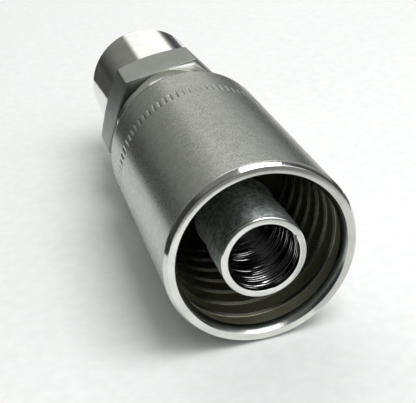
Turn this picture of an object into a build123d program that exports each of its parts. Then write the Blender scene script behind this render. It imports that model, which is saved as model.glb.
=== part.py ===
from build123d import *
import math
import os

# Crimp hose fitting, lying on its side with the hose mouth towards -Y and +Z up.
# It is two pieces of plated steel: a turned stem, and a shell swaged onto the stem's waist.
# All sizes are in millimetres. A distance along the axis, such as hex_at, is measured from the
# plane of the shell's mouth, and a radius is measured from the axis.

# Stem, inside the hose
bore_radius = 5.0
nipple_wall = 1.0
bore_chamfer = 0.5
tip_proud = 0.3
tip_chamfer = 0.4
first_land_length = 9.5
barb_count = 5
barb_depth = 0.35
barb_length = 3.2

# Stem, collar and waist that hold the shell
collar_height = 2.2
collar_width = 2.2
collar_chamfer = 0.6
waist_depth = 1.0
shell_clearance = 0.05

# Stem, neck, hexagon and plain tube end
neck_length = 8.0
neck_below_flats = 0.15
hex_across_flats = 22.2
hex_length = 9.1
hex_corner_turn = 20.9
hex_chamfer_inset = 0.2
hex_chamfer_slope = 1.0
tube_radius = 10.65
tube_length = 18.1
tube_chamfer = 1.0

# Shell, walls
hose_space = 6.15
shell_wall = 1.35
shell_floor = 5.3
shell_length = 38.8
rear_rounding = 2.0
mouth_bevel_width = 0.45
mouth_bevel_depth = 0.7

# Shell, gripping ridges and the lip of the mouth, which is the first and widest ridge
ridge_count = 7
ridge_height = 0.45
ridge_front = 0.25
ridge_back = 0.4
ridge_pitch = 3.175
first_ridge_at = 4.65
lip_height = 0.65
lip_end_at = 1.65
lip_back = 0.1
lead_in_depth = 0.9
lead_in_below_bore = 0.1

# Sizes that follow from the ones above
nipple_radius = bore_radius + nipple_wall
collar_radius = nipple_radius + collar_height
waist_radius = collar_radius - waist_depth
neck_radius = hex_across_flats / 2 - neck_below_flats
shell_bore_radius = nipple_radius + hose_space
shell_radius = shell_bore_radius + shell_wall
floor_at = shell_length - shell_floor
collar_end_at = floor_at - shell_clearance
collar_at = collar_end_at - collar_width
hex_at = shell_length + neck_length
hex_end_at = hex_at + hex_length
tube_end_at = hex_end_at + tube_length
middle_at = (tube_end_at - tip_proud) / 2


def turned(outline):
    """The solid of revolution about the axis of a closed outline of (radius, distance) points."""
    return revolve(make_face(Polyline(*outline, close=True)), axis=Axis.Y)


def barbed_nipple_outline():
    """From the tip to the collar: a plain land, then barbs that ramp up away from the tip."""
    outline = [
        (nipple_radius - tip_chamfer, -tip_proud),
        (nipple_radius, tip_chamfer - tip_proud),
    ]
    barb_at = first_land_length - tip_proud
    for barb in range(barb_count):
        outline.append((nipple_radius, barb_at))
        outline.append((nipple_radius - barb_depth, barb_at))
        barb_at += barb_length
    return outline + [(nipple_radius, barb_at), (nipple_radius, collar_at)]


def stem_blank():
    """Everything on the stem that is turned, before the bore and the hexagon."""
    return turned(
        [(0, -tip_proud)]
        + barbed_nipple_outline()
        + [
            (collar_radius - collar_chamfer, collar_at),
            (collar_radius, collar_at + collar_chamfer),
            (collar_radius, collar_end_at),
            (waist_radius, collar_end_at),
            (waist_radius, shell_length),
            (neck_radius, shell_length),
            (neck_radius, hex_at),
            (tube_radius, hex_at),
            (tube_radius, tube_end_at - tube_chamfer),
            (tube_radius - tube_chamfer, tube_end_at),
            (0, tube_end_at),
        ]
    )


def wrench_hexagon():
    """A hexagon with sharp corners towards the shell and turned corners towards the tube end."""
    seat = Plane(origin=(0, hex_at, 0), x_dir=(1, 0, 0), z_dir=(0, 1, 0))
    flats = RegularPolygon(
        hex_across_flats / 2, 6, major_radius=False, rotation=hex_corner_turn - 90
    )
    prism = extrude(seat * flats, amount=hex_length)
    corner_radius = hex_across_flats / math.sqrt(3)
    chamfer_radius = hex_across_flats / 2 - hex_chamfer_inset
    outside = corner_radius + hex_chamfer_inset
    chamfer_at = hex_end_at - (outside - chamfer_radius) * hex_chamfer_slope
    envelope = turned(
        [
            (0, hex_at),
            (outside, hex_at),
            (outside, chamfer_at),
            (chamfer_radius, hex_end_at),
            (0, hex_end_at),
        ]
    )
    return prism & envelope


def through_bore():
    """The straight bore, chamfered at the tube end."""
    return turned(
        [
            (0, -tip_proud),
            (bore_radius, -tip_proud),
            (bore_radius, tube_end_at - bore_chamfer),
            (bore_radius + bore_chamfer, tube_end_at),
            (0, tube_end_at),
        ]
    )


def make_stem():
    """The stem: nipple, collar, waist, neck, hexagon and tube end, in one piece."""
    return stem_blank() + wrench_hexagon() - through_bore()


def ridged_bore_outline():
    """From the shell's floor to the mouth, over each gripping ridge and then the lip."""
    outline = []
    for ridge in reversed(range(ridge_count)):
        crest_at = first_ridge_at + ridge * ridge_pitch
        outline += [
            (shell_bore_radius, crest_at + ridge_back),
            (shell_bore_radius - ridge_height, crest_at),
            (shell_bore_radius, crest_at - ridge_front),
        ]
    lip_radius = shell_bore_radius - lip_height
    return outline + [
        (shell_bore_radius, lip_end_at + lip_back),
        (lip_radius, lip_end_at),
        (lip_radius, lead_in_depth),
        (shell_bore_radius - lead_in_below_bore, 0),
    ]


def make_shell():
    """The crimp shell: open at the mouth, ridged inside, its floor closed in round the waist."""
    hole_radius = waist_radius + shell_clearance
    shell = turned(
        [
            (shell_radius - mouth_bevel_width, 0),
            (shell_radius, mouth_bevel_depth),
            (shell_radius, shell_length),
            (hole_radius, shell_length),
            (hole_radius, floor_at),
            (shell_bore_radius, floor_at),
        ]
        + ridged_bore_outline()
    )
    rear_circles = shell.edges().filter_by(GeomType.CIRCLE).group_by(Axis.Y)[-1]
    return fillet(rear_circles.sort_by(SortBy.RADIUS)[-1], rear_rounding)


# The shell lies on the ground, with the fitting's middle over the origin
in_place = Pos(0, -middle_at, shell_radius)

os.makedirs("parts", exist_ok=True)
export_step(in_place * make_stem(), "parts/stem.step")
export_step(in_place * make_shell(), "parts/crimp_shell.step")
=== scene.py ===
import math

import bpy
import numpy as np
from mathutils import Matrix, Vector, noise


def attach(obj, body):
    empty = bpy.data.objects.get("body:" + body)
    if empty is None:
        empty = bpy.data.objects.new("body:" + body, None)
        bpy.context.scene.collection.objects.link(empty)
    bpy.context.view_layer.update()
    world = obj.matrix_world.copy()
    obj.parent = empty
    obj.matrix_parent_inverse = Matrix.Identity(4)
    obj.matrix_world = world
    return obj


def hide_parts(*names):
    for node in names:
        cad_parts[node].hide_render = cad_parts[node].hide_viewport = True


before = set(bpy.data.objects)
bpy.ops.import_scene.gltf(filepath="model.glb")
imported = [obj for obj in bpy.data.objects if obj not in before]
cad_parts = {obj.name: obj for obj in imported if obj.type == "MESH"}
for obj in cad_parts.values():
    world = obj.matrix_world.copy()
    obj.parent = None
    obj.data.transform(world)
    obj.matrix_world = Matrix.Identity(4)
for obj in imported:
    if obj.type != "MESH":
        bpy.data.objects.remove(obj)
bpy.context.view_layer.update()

# Crimp hose fitting: finer meshes and materials for the CAD model's two pieces, a sheet of white
# paper under it, a camera and a room that the steel mirrors.
#
# Lengths of the fitting are in millimetres, as on the drawing. A distance runs along the axis from
# the plane of the shell's mouth, and an angle goes round the axis from straight up towards +X.
MM = 0.001
MICRON = 0.001 * MM
MIDDLE_AT = 36.85
AXIS_HEIGHT = 13.5

# Shell
SHELL_RADIUS = 13.5
SHELL_BORE = 12.15
SHELL_LENGTH = 38.8
FLOOR_AT = 33.5
HOLE_RADIUS = 7.25
REAR_ROUNDING = 2.0
REAR_STEPS = 8
BEVEL_WIDTH = 0.45
BEVEL_DEPTH = 0.7
RIDGE_COUNT = 7
FIRST_RIDGE_AT = 4.65
RIDGE_PITCH = 3.175
RIDGE_HEIGHT = 0.45
RIDGE_FRONT = 0.25
RIDGE_BACK = 0.4
CREST_LENGTH = 0.08
LIP_HEIGHT = 0.65
LIP_END_AT = 1.65
LIP_BACK = 0.1
LEAD_IN_DEPTH = 0.9
LEAD_IN_BELOW_BORE = 0.1

# Ring of pressed dashes round the shell. Each dash has six columns of points, of which the third
# and fourth are the slit, and it runs from the third row of points to the fourth. A column's place
# is measured across the dash, and a row's along the axis.
DASHES = 84
FIRST_DASH = math.radians(3.48)
DASH_DEPTH = 0.09
DASH_COLUMNS = (-0.42, -0.13, -0.02, 0.04, 0.11, 0.42)
SLIT_COLUMNS = (2, 3)
DASH_ROWS = (27.85, 28.0, 28.25, 30.05, 30.3, 30.45)

# Stem
BORE_RADIUS = 5.0
NIPPLE_RADIUS = 6.0
TIP_AT = -0.3
TIP_ROUNDING = 0.3
TIP_STEPS = 6
LAND_STRAIGHT_TO = 5.0
LAND_STEPS = 8
BARB_COUNT = 5
FIRST_BARB_AT = 9.2
BARB_LENGTH = 3.2
BARB_DEPTH = 0.35
COLLAR_AT = 31.25
COLLAR_END_AT = 33.45
COLLAR_RADIUS = 8.2
COLLAR_CHAMFER = 0.6
WAIST_RADIUS = 7.2
NECK_RADIUS = 10.95
HEX_AT = 46.8
HEX_END_AT = 55.9
HEX_CORNER = math.radians(20.9)
HEX_SIDE = math.radians(60)
HEX_APOTHEM = 11.1
HEX_CORNER_RADIUS = 12.76
HEX_FACE_RADIUS = 10.9
HEX_FRONT_ROUNDING = 0.12
HEX_FRONT_STEP = 0.03
HEX_BACK_BEFORE_EDGE = 0.06
HEX_BACK_PAST_EDGE = 0.05
HEX_COLUMN_STEP = 1.25
HEX_BESIDE_CORNER = 0.4
TUBE_RADIUS = 10.65
TUBE_END_AT = 74
TUBE_CHAMFER = 1
BORE_CHAMFER = 0.5

# Marks that the drill left in the bore, and a nick in the nipple's tip
MARKS_FROM = 0.5
MARKS_TO = 16
MARK_SIDE = 0.02
LEAST_MARK_DEPTH = 0.03
MARK_DEPTH_VARIES = 0.16
LEAST_MARK_SPACING = 0.45
MARK_SPACING_VARIES = 0.7
GLINT_SLOPE = 0.7
NICK_ANGLE = math.radians(62.9)
NICK_HALF_WIDTH = math.radians(1.5)
NICK_DEPTH = 0.3

# A rounded corner is a curve of this many points, and takes up no more than this share of a side
ROUNDING_POINTS = 3
LARGEST_ROUNDING = 0.45


# Meshes. A piece is a closed outline turned about the axis. Each point of an outline is a radius, a
# distance, the size of the corner's rounding, and the finish of the faces from there to the next.

def soften(outline):
    """Rounds an outline's corners, and gives its points and finishes separately."""
    points = []
    finishes = []
    for i, (radius, distance, size, finish) in enumerate(outline):
        corner = np.array([radius, distance])
        if size == 0:
            points.append(corner)
            finishes.append(finish)
            continue
        before = np.array(outline[i - 1][:2]) - corner
        after = np.array(outline[(i + 1) % len(outline)][:2]) - corner
        before *= min(size / np.linalg.norm(before), LARGEST_ROUNDING)
        after *= min(size / np.linalg.norm(after), LARGEST_ROUNDING)
        for share in np.linspace(0, 1, ROUNDING_POINTS):
            points.append(corner + before * (1 - share) ** 2 + after * share ** 2)
            finishes.append(finish)
    return np.array(points), finishes


def turned_grid(outline, angles):
    """Radii, distances and finishes of a turned piece, a row for each point of its outline."""
    points, finishes = soften(outline)
    radii = np.repeat(points[:, :1], len(angles), axis=1)
    distances = np.repeat(points[:, 1:], len(angles), axis=1)
    return radii, distances, finishes


def ring_mesh(name, radii, distances, angles, finishes, materials):
    """A closed piece from its grid of points. Each band of faces takes its row's finish."""
    rows, columns = radii.shape
    x = radii * np.sin(angles) * MM
    y = (distances - MIDDLE_AT) * MM
    z = (radii * np.cos(angles) + AXIS_HEIGHT) * MM
    points = np.stack([x, y, z], axis=-1).reshape(-1, 3)
    row, column = np.meshgrid(np.arange(rows), np.arange(columns), indexing="ij")
    next_row = (row + 1) % rows
    next_column = (column + 1) % columns
    faces = np.stack(
        [
            row * columns + column,
            next_row * columns + column,
            next_row * columns + next_column,
            row * columns + next_column,
        ],
        axis=-1,
    ).reshape(-1, 4)
    mesh = bpy.data.meshes.new(name)
    mesh.from_pydata(points.tolist(), [], faces.tolist())
    for material in materials.values():
        mesh.materials.append(material)
    slot_of = {finish: slot for slot, finish in enumerate(materials)}
    slots = np.repeat([slot_of[finish] for finish in finishes], columns)
    mesh.polygons.foreach_set("material_index", slots.astype(np.int32))
    smooth = np.repeat([finish != "painted_highlight" for finish in finishes], columns)
    mesh.polygons.foreach_set("use_smooth", smooth)
    mesh.update()
    piece = bpy.data.objects.new(name, mesh)
    bpy.context.scene.collection.objects.link(piece)
    even_normals = piece.modifiers.new("even_normals", "WEIGHTED_NORMAL")
    even_normals.keep_sharp = True
    even_normals.weight = 100
    return piece


# The shell's mesh

def dash_angles():
    """Angles of the shell's columns of points, in groups of one dash each."""
    dashes = FIRST_DASH + np.arange(DASHES) * 2 * math.pi / DASHES
    return (dashes[:, None] + np.array(DASH_COLUMNS) / SHELL_RADIUS).ravel()


def ridge_outline(ridge):
    """One gripping ridge, from its back to the valley in front of it."""
    crest_at = FIRST_RIDGE_AT + ridge * RIDGE_PITCH
    crest_radius = SHELL_BORE - RIDGE_HEIGHT
    # Valleys past the first take a darker copy of the bore's plating: painted shade deeper in the shell
    valley = "inside_painted_shade" if ridge else "inside"
    return [
        # The ridge's sides and crest are painted near black as shade
        (SHELL_BORE, crest_at + RIDGE_BACK, 0.15, "ridge"),
        (crest_radius, crest_at + CREST_LENGTH, 0.04, "crest"),
        (crest_radius, crest_at, 0.04, "ridge"),
        (SHELL_BORE, crest_at - RIDGE_FRONT, 0.08, valley),
    ]


def shell_outline():
    """From the mouth along the outside to the rear, and back over the ridges to the lip."""
    outline = [
        (SHELL_RADIUS - BEVEL_WIDTH, 0, 0.06, "bevel"),
        (SHELL_RADIUS, BEVEL_DEPTH, 0.12, "outside"),
    ]
    outline += [(SHELL_RADIUS, distance, 0, "outside") for distance in DASH_ROWS]
    for turn in np.linspace(0, math.pi / 2, REAR_STEPS + 1):
        radius = SHELL_RADIUS - REAR_ROUNDING * (1 - math.cos(turn))
        distance = SHELL_LENGTH - REAR_ROUNDING * (1 - math.sin(turn))
        outline.append((radius, distance, 0, "outside"))
    outline += [
        (HOLE_RADIUS, SHELL_LENGTH, 0, "outside"),
        (HOLE_RADIUS, FLOOR_AT, 0, "inside_painted_shade"),
        (SHELL_BORE, FLOOR_AT, 0.3, "inside_painted_shade"),
    ]
    for ridge in reversed(range(RIDGE_COUNT)):
        outline += ridge_outline(ridge)
    return outline + [
        (SHELL_BORE, LIP_END_AT + LIP_BACK, 0.05, "ridge"),
        (SHELL_BORE - LIP_HEIGHT, LIP_END_AT, 0.05, "lip"),
        (SHELL_BORE - LIP_HEIGHT, LEAD_IN_DEPTH, 0.34, "lip"),
        (SHELL_BORE - LEAD_IN_BELOW_BORE, 0, 0.05, "mouth"),
    ]


def make_shell(materials):
    """The turned shell, with the slits of the dashes pressed into it."""
    angles = dash_angles()
    radii, distances, finishes = turned_grid(shell_outline(), angles)
    in_slit = np.isin(np.arange(len(angles)) % len(DASH_COLUMNS), SLIT_COLUMNS)
    slit_from, slit_to = DASH_ROWS[2], DASH_ROWS[3]
    along = (radii[:, 0] == SHELL_RADIUS) & (distances[:, 0] >= slit_from) & (distances[:, 0] <= slit_to)
    radii[np.ix_(along, in_slit)] -= DASH_DEPTH
    return ring_mesh("crimp_shell_dressed", radii, distances, angles, finishes, materials)


# The stem's mesh

def stem_angles():
    """Angles of the stem's columns of points, closer together at the hexagon's corners."""
    beside_corners = [HEX_BESIDE_CORNER, 60 - HEX_BESIDE_CORNER]
    turns = np.radians(np.append(np.arange(0, 60, HEX_COLUMN_STEP), beside_corners))
    return np.sort(np.concatenate([HEX_CORNER + side * HEX_SIDE + turns for side in range(6)]))


def nipple_outline():
    """From the tip's outer edge over the land, barbs, collar, waist and neck to the hexagon."""
    outline = []
    for step, turn in enumerate(np.linspace(0, math.pi / 2, TIP_STEPS + 1)):
        radius = NIPPLE_RADIUS - TIP_ROUNDING * (1 - math.sin(turn))
        distance = TIP_AT + TIP_ROUNDING * (1 - math.cos(turn))
        outline.append((radius, distance, 0, "tip" if step < TIP_STEPS else "nipple"))
    # The land is straight at first and then curves in towards the first barb's foot
    for share in np.linspace(0, 1, LAND_STEPS + 1):
        distance = LAND_STRAIGHT_TO + (FIRST_BARB_AT - LAND_STRAIGHT_TO) * share
        outline.append((NIPPLE_RADIUS - BARB_DEPTH * share ** 2, distance, 0, "nipple"))
    # Past the land the stem is painted near black as shade inside the shell
    for barb in range(1, BARB_COUNT):
        barb_at = FIRST_BARB_AT + BARB_LENGTH * barb
        outline.append((NIPPLE_RADIUS, barb_at, 0.05, "nipple_painted_shade"))
        outline.append((NIPPLE_RADIUS - BARB_DEPTH, barb_at, 0.05, "nipple_painted_shade"))
    return outline + [
        (NIPPLE_RADIUS, FIRST_BARB_AT + BARB_LENGTH * BARB_COUNT, 0.1, "nipple_painted_shade"),
        (NIPPLE_RADIUS, COLLAR_AT, 0.1, "nipple_painted_shade"),
        (COLLAR_RADIUS - COLLAR_CHAMFER, COLLAR_AT, 0.1, "nipple_painted_shade"),
        (COLLAR_RADIUS, COLLAR_AT + COLLAR_CHAMFER, 0.1, "nipple_painted_shade"),
        (COLLAR_RADIUS, COLLAR_END_AT, 0, "nipple_painted_shade"),
        (WAIST_RADIUS, COLLAR_END_AT, 0, "nipple_painted_shade"),
        (WAIST_RADIUS, SHELL_LENGTH, 0, "nipple_painted_shade"),
        (NECK_RADIUS, SHELL_LENGTH, 0, "neck"),
        (NECK_RADIUS, HEX_AT, 0, "hexagon"),
    ]


def tool_marks():
    """Distance and depth of each groove that the drill left in the bore, from the tip inwards."""
    marks = []
    mark_at = MARKS_FROM
    while mark_at < MARKS_TO:
        depth_draw = abs(noise.noise(Vector((mark_at * 2.3, 0, 0))))
        spacing_draw = abs(noise.noise(Vector((mark_at * 5.1, 7, 0))))
        marks.append((mark_at, LEAST_MARK_DEPTH + MARK_DEPTH_VARIES * depth_draw))
        mark_at += LEAST_MARK_SPACING + MARK_SPACING_VARIES * spacing_draw
    return marks


def tube_outline():
    """From the hexagon along the tube end, and back through the bore to the tip's inner edge."""
    outline = [
        (TUBE_RADIUS, HEX_END_AT, 0, "tube"),
        (TUBE_RADIUS, TUBE_END_AT - TUBE_CHAMFER, 0.3, "tube"),
        (TUBE_RADIUS - TUBE_CHAMFER, TUBE_END_AT, 0.3, "tube"),
        (BORE_RADIUS + BORE_CHAMFER, TUBE_END_AT, 0.08, "bore"),
        (BORE_RADIUS, TUBE_END_AT - BORE_CHAMFER, 0.1, "bore"),
    ]
    # The bore deeper in is painted near black as shade
    outline += [(BORE_RADIUS, distance, 0, "bore_painted_shade") for distance in (60, 45, 30, 20)]
    for mark_at, depth in reversed(tool_marks()):
        outline += [
            # The wall of each mark that faces the tip is painted bright as a highlight, and the rest of
            # the bore dark as shade
            (BORE_RADIUS, mark_at + MARK_SIDE + GLINT_SLOPE * depth, 0, "painted_highlight"),
            (BORE_RADIUS + depth, mark_at + MARK_SIDE, 0, "bore"),
            (BORE_RADIUS + depth, mark_at, 0, "bore"),
            (BORE_RADIUS, mark_at - MARK_SIDE, 0, "bore"),
        ]
    return outline + [(BORE_RADIUS, TIP_AT, 0.05, "tip")]


def break_up_marks(radii, distances, finishes):
    """Makes the bore's grooves deeper and shallower along their way round."""
    columns = radii.shape[1]
    turns = 2 * math.pi * np.arange(columns) / columns
    for row, finish in enumerate(finishes):
        depth = radii[row, 0] - BORE_RADIUS
        distance = distances[row, 0]
        if finish != "bore" or depth == 0 or distance > MARKS_TO + MARK_SIDE:
            continue
        for column, turn in enumerate(turns):
            # Noise is drawn on a circle, so that it ends where it began
            place = Vector((1.3 * math.cos(turn), 1.3 * math.sin(turn), 3 * distance))
            share = 0.75 + noise.noise(place)
            radii[row, column] = BORE_RADIUS + depth * min(max(share, 0), 1)


def hexagon_rows(angles):
    """Radii and distances of the front edge, the flats and the corners turned off at the back."""
    turn = np.mod(angles - HEX_CORNER, HEX_SIDE) - HEX_SIDE / 2
    flats = np.minimum(HEX_APOTHEM / np.cos(turn), HEX_CORNER_RADIUS)
    turned_off = HEX_END_AT - (flats - HEX_FACE_RADIUS)
    everywhere = np.ones_like(flats)
    rows = [
        (flats - HEX_FRONT_ROUNDING, HEX_AT * everywhere),
        (flats - HEX_FRONT_STEP, (HEX_AT + HEX_FRONT_STEP) * everywhere),
        (flats, (HEX_AT + HEX_FRONT_ROUNDING) * everywhere),
        (flats, turned_off - HEX_BACK_BEFORE_EDGE),
        (flats - HEX_BACK_PAST_EDGE, turned_off + HEX_BACK_PAST_EDGE),
        (HEX_FACE_RADIUS * everywhere, HEX_END_AT * everywhere),
    ]
    return np.array([row[0] for row in rows]), np.array([row[1] for row in rows])


def make_stem(materials):
    """The turned stem, with its hexagon, the nick in its tip and the drill's marks."""
    angles = stem_angles()
    radii, distances, finishes = turned_grid(nipple_outline() + tube_outline(), angles)
    break_up_marks(radii, distances, finishes)
    # The last corner is the tip's inner edge, which has the nick in it
    beside_nick = np.abs(angles - NICK_ANGLE) / NICK_HALF_WIDTH
    radii[-ROUNDING_POINTS:] += NICK_DEPTH * np.maximum(1 - beside_nick, 0)
    # The hexagon's rows go in between the turned parts
    hexagon_radii, hexagon_distances = hexagon_rows(angles)
    tube_row = finishes.index("tube")
    radii = np.concatenate([radii[:tube_row], hexagon_radii, radii[tube_row:]])
    distances = np.concatenate([distances[:tube_row], hexagon_distances, distances[tube_row:]])
    finishes[tube_row:tube_row] = ["hexagon"] * len(hexagon_radii)
    return ring_mesh("stem_dressed", radii, distances, angles, finishes, materials)


# Materials

class Nodes:
    """A short way to add nodes to a tree and to link them."""

    def __init__(self, tree):
        self.tree = tree

    def add(self, kind, inputs=None, **settings):
        node = self.tree.nodes.new("ShaderNode" + kind)
        for name, value in settings.items():
            setattr(node, name, value)
        for name, value in (inputs or {}).items():
            self.feed(node.inputs[name], value)
        return node

    def feed(self, socket, value):
        if isinstance(value, bpy.types.NodeSocket):
            self.tree.links.new(value, socket)
        else:
            socket.default_value = value

    def math(self, operation, a, b=0.0):
        return self.add("Math", {0: a, 1: b}, operation=operation).outputs[0]

    def ramp(self, value, low, high, to_low=0.0, to_high=1.0):
        """A value from low to high becomes to_low to to_high, and stays there beyond."""
        node = self.add(
            "MapRange",
            {0: value, 1: low, 2: high, 3: to_low, 4: to_high},
            interpolation_type="SMOOTHSTEP",
        )
        return node.outputs[0]

    def blend(self, share, a, b):
        """Colour a at share 0 and colour b at share 1."""
        node = self.add("Mix", {"Factor": share}, data_type="RGBA")
        self.feed(node.inputs[6], a)
        self.feed(node.inputs[7], b)
        return node.outputs[2]

    def noise(self, size, detail, place=None):
        """Noise with features of the given size in millimetres, at the object's own points."""
        node = self.add(
            "TexNoise",
            {
                "Vector": place or self.add("TexCoord").outputs["Object"],
                "Scale": 1 / (size * MM),
                "Detail": detail,
                "Roughness": 0.6,
            },
        )
        return node.outputs["Fac"]

    def turning_rings(self, size, detail):
        """Noise in rings about the fitting's axis, which change slowly on their way round."""
        place = self.add("SeparateXYZ", {0: self.add("TexCoord").outputs["Object"]})
        across, along, height = place.outputs
        up = self.math("SUBTRACT", height, AXIS_HEIGHT * MM)
        across_squared = self.math("MULTIPLY", across, across)
        up_squared = self.math("MULTIPLY", up, up)
        radius = self.math("SQRT", self.math("ADD", across_squared, up_squared))
        change = self.math("MULTIPLY", up, 0.02)
        ring = self.add("CombineXYZ", {0: radius, 1: along, 2: change})
        return self.noise(size, detail, ring.outputs[0])


def new_material(name):
    """A new material and its shader."""
    material = bpy.data.materials.new(name)
    material.use_nodes = True
    return material, material.node_tree.nodes["Principled BSDF"]


def metal(
    name,
    colour,
    roughness,
    spread=0.04,
    grain=0.25,
    grain_height=1.0,
    rings=0.0,
    mottle=0.06,
    mottle_size=3.0,
    spots=None,
    spot_size=0.35,
    spot_colour=None,
    dull=0.0,
    turned=0.0,
    edge=1.0,
):
    """Plated steel: fine grain, wide mottling, rings left by turning and darker spots.

    grain is the size of the grain in millimetres and grain_height how deep it is, in thousandths of
    a millimetre, as rings is for the turning rings. spread is how far the roughness varies, and
    mottle how far the colour does. spots is the level of noise above which a spot shows. dull is the
    share of the surface that scatters light as an oxide film does. turned is how much the fine rings
    of a turned surface draw out its gloss along the axis. edge is the share of the gloss that is
    left where the surface is seen from the side.
    """
    material, shader = new_material(name)
    nodes = Nodes(material.node_tree)
    fine = nodes.noise(grain, 3)
    wide = nodes.noise(mottle_size, 3)
    dark = tuple((1 - mottle) * channel for channel in colour)
    light = tuple(min((1 + mottle) * channel, 1) for channel in colour)
    paint = nodes.blend(nodes.ramp(wide, 0.35, 0.65), (*dark, 1), (*light, 1))
    if spots:
        spotted = nodes.ramp(nodes.noise(spot_size, 4), spots, spots + 0.06)
        paint = nodes.blend(spotted, paint, (*spot_colour, 1))
    nodes.feed(shader.inputs["Base Color"], paint)
    varied = nodes.ramp(fine, 0.3, 0.7, roughness - spread, roughness + spread)
    nodes.feed(shader.inputs["Roughness"], varied)
    shader.inputs["Metallic"].default_value = 1 - dull
    shader.inputs["Specular Tint"].default_value = (edge, edge, edge, 1)
    if turned:
        shader.inputs["Anisotropic"].default_value = turned
        shader.inputs["Anisotropic Rotation"].default_value = 0.25
        tangent = nodes.add("Tangent", direction_type="RADIAL", axis="Y")
        nodes.feed(shader.inputs["Tangent"], tangent.outputs[0])
    height = nodes.math("MULTIPLY", fine, grain_height)
    if rings:
        ring_height = nodes.math("MULTIPLY", nodes.turning_rings(0.15, 3), rings)
        height = nodes.math("ADD", height, ring_height)
    bump = nodes.add("Bump", {"Height": height, "Distance": MICRON, "Strength": 1.0})
    nodes.feed(shader.inputs["Normal"], bump.outputs[0])
    return material


def hose_side(name, colour):
    """The shell's bore, plated thinly and left with the rings of the boring tool."""
    return metal(name, colour, 0.36, rings=2.0, dull=0.16, turned=0.6)


def paper():
    """White paper with faint fibres."""
    material, shader = new_material("paper")
    nodes = Nodes(material.node_tree)
    fibres = nodes.ramp(nodes.noise(2.0, 5), 0.3, 0.7)
    colour = nodes.blend(fibres, (0.88, 0.895, 0.89, 1), (0.925, 0.94, 0.935, 1))
    nodes.feed(shader.inputs["Base Color"], colour)
    shader.inputs["Roughness"].default_value = 0.9
    shader.inputs["Specular IOR Level"].default_value = 0.2
    return material


def plain_grey(name, grey):
    """An even grey for the table and the cards."""
    material, shader = new_material(name)
    shader.inputs["Base Color"].default_value = (grey, grey, grey, 1)
    shader.inputs["Roughness"].default_value = 0.6
    return material


# Pieces

shell = make_shell(
    {
        "outside": metal(
            "shell_outside",
            (0.55, 0.56, 0.53),
            0.27,
            grain=0.3,
            grain_height=3.5,
            mottle_size=1.2,
            spots=0.7,
            spot_colour=(0.3, 0.3, 0.28),
            edge=0.82,
        ),
        "bevel": metal("shell_bevel", (0.70, 0.70, 0.68), 0.1, grain_height=0.2),
        "mouth": metal("shell_mouth", (0.81, 0.82, 0.77), 0.18, spread=0.01, grain_height=0.2, rings=0.6),
        "lip": metal("shell_lip", (0.36, 0.38, 0.36), 0.2, grain_height=8.0, rings=1.0),
        "inside": hose_side("shell_inside", (0.58, 0.57, 0.41)),
        # A darker, more olive copy of the same plating: painted shade on the deeper valleys, the floor
        # and the hole
        "inside_painted_shade": hose_side("shell_inside_painted_shade", (0.42, 0.41, 0.28)),
        # Crests and sides of the ridges are near black: painted shade on the bore's own plating
        "crest": metal("painted_shade_crest", (0.07, 0.07, 0.06), 0.35, edge=0.3),
        "ridge": metal("painted_shade_ridge_side", (0.06, 0.06, 0.05), 0.25, edge=0.3),
    }
)
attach(shell, "root")
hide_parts("crimp_shell")

stem = make_stem(
    {
        "tip": metal("stem_tip", (0.84, 0.85, 0.81), 0.18, spread=0.01, grain_height=0.2, rings=0.3),
        "nipple": metal(
            "stem_nipple",
            (0.62, 0.68, 0.68),
            0.43,
            grain=0.12,
            grain_height=4.0,
            mottle=0.3,
            mottle_size=0.9,
            spots=0.57,
            spot_size=0.25,
            spot_colour=(0.06, 0.07, 0.07),
            turned=0.85,
            edge=0.35,
        ),
        # Near black: painted shade on the barbs, collar and waist inside the shell
        "nipple_painted_shade": metal("stem_nipple_painted_shade", (0.06, 0.065, 0.065), 0.5),
        # The bore is painted dark as shade and the walls of its marks bright as a highlight: shaded and
        # lit copies of one steel
        "bore": metal("stem_bore", (0.12, 0.12, 0.125), 0.2, grain_height=0.3),
        # Near black: painted shade deep in the bore
        "bore_painted_shade": metal("stem_bore_painted_shade", (0.03, 0.03, 0.03), 0.3),
        "painted_highlight": metal("stem_bore_painted_highlight", (0.95, 0.95, 0.97), 0.2, grain_height=0.3),
        "neck": metal("stem_neck", (0.47, 0.48, 0.42), 0.14),
        "hexagon": metal("stem_hexagon", (0.33, 0.345, 0.32), 0.36),
        "tube": metal("stem_tube", (0.66, 0.66, 0.63), 0.1, grain_height=0.3),
    }
)
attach(stem, "root")
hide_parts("stem")


# Stage, with lengths in metres

CARD_HEIGHT = 0.0005
TABLE_HEIGHT = -0.0003

# Cards that are seen in reflections alone: name, low corner, high corner and grey. They are painted shade
# and light in what the steel mirrors: on the paper they look darker than it, and the front card looks
# lighter than the table in front of the paper.
CARDS = (
    ("left_card", (-0.11, 0.09), (-0.022, 0.24), 0.03),
    ("right_card", (0.07, 0.06), (0.2, 0.3), 0.03),
    ("front_card", (-0.085, -0.2), (0.13, -0.078), 0.14),
    ("front_right_card", (0.008, -0.078), (0.06, -0.0395), 0.6),
    ("side_card", (0.06, -0.035), (0.2, 0.015), 0.1),
)


def make_sheet(name, low, high, height, material):
    """A flat rectangle on the stage between two corners."""
    mesh = bpy.data.meshes.new(name)
    corners = [(low[0], low[1]), (high[0], low[1]), (high[0], high[1]), (low[0], high[1])]
    mesh.from_pydata([(x, y, height) for x, y in corners], [], [(0, 1, 2, 3)])
    mesh.materials.append(material)
    sheet = bpy.data.objects.new(name, mesh)
    bpy.context.scene.collection.objects.link(sheet)
    return sheet


make_sheet("paper", (-0.085, -0.078), (0.13, 0.25), 0, paper())
make_sheet("table", (-3, -3), (3, 3), TABLE_HEIGHT, plain_grey("table_top", 0.03))
for card_name, low_corner, high_corner, card_grey in CARDS:
    card = make_sheet(card_name, low_corner, high_corner, CARD_HEIGHT, plain_grey(card_name, card_grey))
    card.visible_camera = False
    card.visible_diffuse = False
    card.visible_shadow = False


# Camera and light, with lengths in metres

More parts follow.
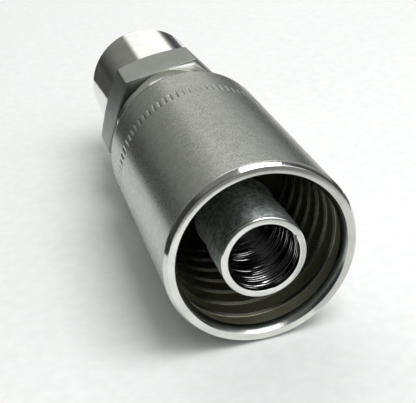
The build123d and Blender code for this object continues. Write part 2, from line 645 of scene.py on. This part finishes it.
# Parts of the room. Each is a range of one angle with the softness of its ends, a range of another
# with its softness, all in degrees, and a colour. A later part is laid over the earlier ones.
# A wall's angles are its azimuth, from +Y towards +X, and its elevation. The front window's azimuth
# is from -Y towards +X. The back window's angles are round the fitting's axis and away from it.
ROOM_BASE = (0.05, 0.052, 0.05, 1)
WALLS = (
    ((-75, 75), 15, (8, 62), 9, (0.26, 0.267, 0.245, 1)),
    ((15, 75), 6, (5, 62), 4, (0.44, 0.45, 0.43, 1)),
    ((-60, 70), 15, (26, 62), 8, (0.43, 0.44, 0.41, 1)),
    ((-400, 400), 10, (48, 100), 8, (0.22, 0.22, 0.21, 1)),
)
FRONT_WINDOW = ((5, 75), 12, (22, 55), 8, (1.9, 1.9, 1.9, 1))
BACK_WINDOW = ((-10, 70), 6, (17.5, 22.2), 1.0, (1.6, 1.6, 1.53, 1))


def make_camera():
    camera = bpy.data.objects.new("camera", bpy.data.cameras.new("camera"))
    camera.data.sensor_width = 36
    camera.data.lens = 76.13
    camera.data.clip_start = 0.005
    camera.data.clip_end = 10
    camera.location = (-0.029092, -0.13072, 0.074989)
    camera.rotation_euler = [math.radians(turn) for turn in (61.748, 4.808, -15.948)]
    bpy.context.scene.collection.objects.link(camera)
    bpy.context.scene.camera = camera


def make_room():
    """A dim room with grey walls beyond the fitting and a window at either end."""
    world = bpy.data.worlds.new("room")
    bpy.context.scene.world = world
    world.use_nodes = True
    nodes = Nodes(world.node_tree)
    direction = nodes.add("SeparateXYZ", {0: nodes.add("TexCoord").outputs["Generated"]})
    x, y, z = direction.outputs
    azimuth = nodes.math("ARCTAN2", x, y)
    front_azimuth = nodes.math("ARCTAN2", x, nodes.math("MULTIPLY", y, -1))
    elevation = nodes.math("ARCSINE", z)
    around_axis = nodes.math("ARCTAN2", x, z)
    from_axis = nodes.math("ARCCOSINE", y)

    def within(angle, limits, soft):
        """1 between the limits and 0 outside them, with soft ends, both given in degrees."""
        low, high = (math.radians(limit) for limit in limits)
        soft = math.radians(soft)
        rise = nodes.ramp(angle, low - soft, low + soft)
        fall = nodes.ramp(angle, high - soft, high + soft, 1, 0)
        return nodes.math("MULTIPLY", rise, fall)

    def lay_over(colour, angle_a, angle_b, part):
        """The colour so far, with one part of the room over it."""
        limits_a, soft_a, limits_b, soft_b, paint = part
        inside_a = within(angle_a, limits_a, soft_a)
        inside_b = within(angle_b, limits_b, soft_b)
        return nodes.blend(nodes.math("MULTIPLY", inside_a, inside_b), colour, paint)

    colour = ROOM_BASE
    for wall in WALLS:
        colour = lay_over(colour, azimuth, elevation, wall)
    colour = lay_over(colour, front_azimuth, elevation, FRONT_WINDOW)
    colour = lay_over(colour, around_axis, from_axis, BACK_WINDOW)
    nodes.feed(world.node_tree.nodes["Background"].inputs["Color"], colour)


def make_lamp(name, centre, size, radiance):
    """A rectangular lamp of the given radiance that shines straight down."""
    lamp = bpy.data.lights.new(name, "AREA")
    lamp.shape = "RECTANGLE"
    lamp.size, lamp.size_y = size
    lamp.energy = radiance * math.pi * size[0] * size[1]
    holder = bpy.data.objects.new(name, lamp)
    holder.location = centre
    bpy.context.scene.collection.objects.link(holder)


make_camera()
make_room()
make_lamp("ceiling", (0.21, -0.18, 0.6), (0.42, 0.36), 5.75)
make_lamp("back", (0.1, 0.5, 0.6), (0.7, 0.4), 2.0)

bpy.context.scene.view_settings.view_transform = "Standard"
